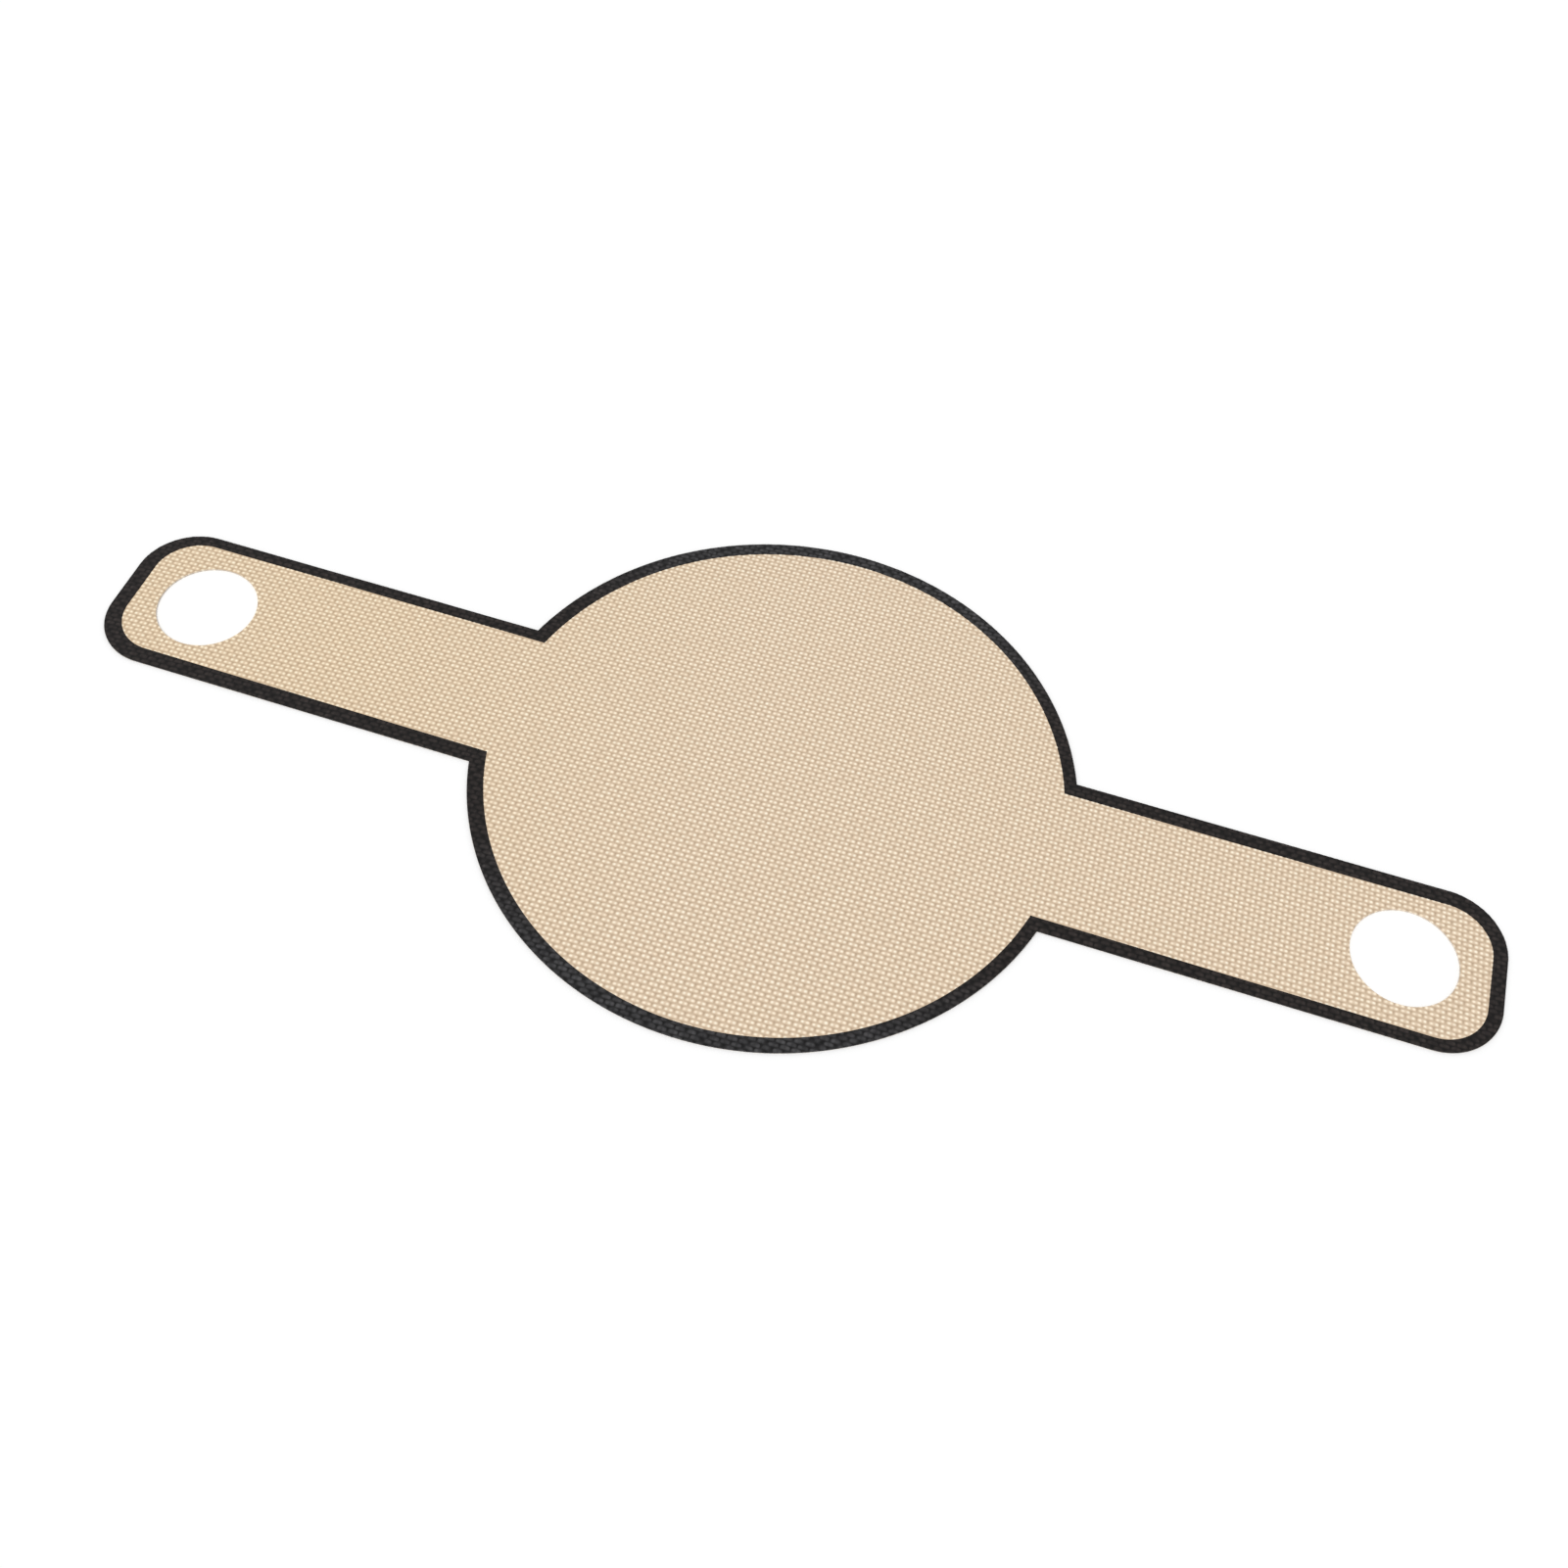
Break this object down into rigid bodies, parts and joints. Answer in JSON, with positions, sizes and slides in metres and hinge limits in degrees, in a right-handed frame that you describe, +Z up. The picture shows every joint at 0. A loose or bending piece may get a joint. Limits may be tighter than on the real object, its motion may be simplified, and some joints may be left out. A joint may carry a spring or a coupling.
{
  "type": "bread sling",
  "caption": "Flat flexible baking sling: a round mat with a long strap on each side ending in a rounded grip with a finger hole, for lifting a loaf in and out of a deep pot.",
  "frame": {"origin": "centre of the round mat, on the surface that the sling lies on", "axes": "+X along the straps to the right-hand grip, +Y to the back, +Z up out of the sheet's printed face"},
  "size_m": [0.5, 0.21, 0.0008],
  "materials": {
    "tan_silicone": "satin, with the cloth's weave showing through",
    "glass_cloth": "woven",
    "black_silicone": "matt"
  },
  "bodies": {
    "disc": {"disc_bottom_coat": "tan_silicone", "disc_cloth": "glass_cloth", "disc_top_coat": "tan_silicone", "disc_front_band": "black_silicone", "disc_back_band": "black_silicone"},
    "left_root": {"left_root_bottom_coat": "tan_silicone", "left_root_cloth": "glass_cloth", "left_root_top_coat": "tan_silicone", "left_root_front_band": "black_silicone", "left_root_back_band": "black_silicone"},
    "left_strap": {"left_strap_bottom_coat": "tan_silicone", "left_strap_cloth": "glass_cloth", "left_strap_top_coat": "tan_silicone", "left_strap_front_band": "black_silicone", "left_strap_back_band": "black_silicone"},
    "left_grip": {"left_grip_bottom_coat": "tan_silicone", "left_grip_cloth": "glass_cloth", "left_grip_top_coat": "tan_silicone", "left_grip_band": "black_silicone"},
    "right_root": {"right_root_bottom_coat": "tan_silicone", "right_root_cloth": "glass_cloth", "right_root_top_coat": "tan_silicone", "right_root_front_band": "black_silicone", "right_root_back_band": "black_silicone"},
    "right_strap": {"right_strap_bottom_coat": "tan_silicone", "right_strap_cloth": "glass_cloth", "right_strap_top_coat": "tan_silicone", "right_strap_front_band": "black_silicone", "right_strap_back_band": "black_silicone"},
    "right_grip": {"right_grip_bottom_coat": "tan_silicone", "right_grip_cloth": "glass_cloth", "right_grip_top_coat": "tan_silicone", "right_grip_band": "black_silicone"}
  },
  "joints": [
    {"name": "left_root_fold", "type": "hinge", "parent": "disc", "child": "left_root", "pos_m": [-0.10847, 0, 0.0008], "axis": [0, 1, 0], "range_deg": [0, 50], "stiffness_Nm_per_rad": 0.03},
    {"name": "left_strap_fold", "type": "hinge", "parent": "left_root", "child": "left_strap", "pos_m": [-0.13047, 0, 0.0008], "axis": [0, 1, 0], "range_deg": [0, 50]},
    {"name": "left_grip_fold", "type": "hinge", "parent": "left_strap", "child": "left_grip", "pos_m": [-0.17425, 0, 0.0004], "axis": [0, 1, 0], "range_deg": [0, 70], "stiffness_Nm_per_rad": 0.015},
    {"name": "right_root_fold", "type": "hinge", "parent": "disc", "child": "right_root", "pos_m": [0.10847, 0, 0.0008], "axis": [0, -1, 0], "range_deg": [0, 50], "stiffness_Nm_per_rad": 0.03},
    {"name": "right_strap_fold", "type": "hinge", "parent": "right_root", "child": "right_strap", "pos_m": [0.13047, 0, 0.0008], "axis": [0, -1, 0], "range_deg": [0, 50]},
    {"name": "right_grip_fold", "type": "hinge", "parent": "right_strap", "child": "right_grip", "pos_m": [0.17425, 0, 0.0004], "axis": [0, -1, 0], "range_deg": [0, 70], "stiffness_Nm_per_rad": 0.015}
  ],
  "couplings": [
    {"joint": "left_strap_fold", "follows": "left_root_fold", "ratio": 1},
    {"joint": "right_strap_fold", "follows": "right_root_fold", "ratio": 1}
  ]
}
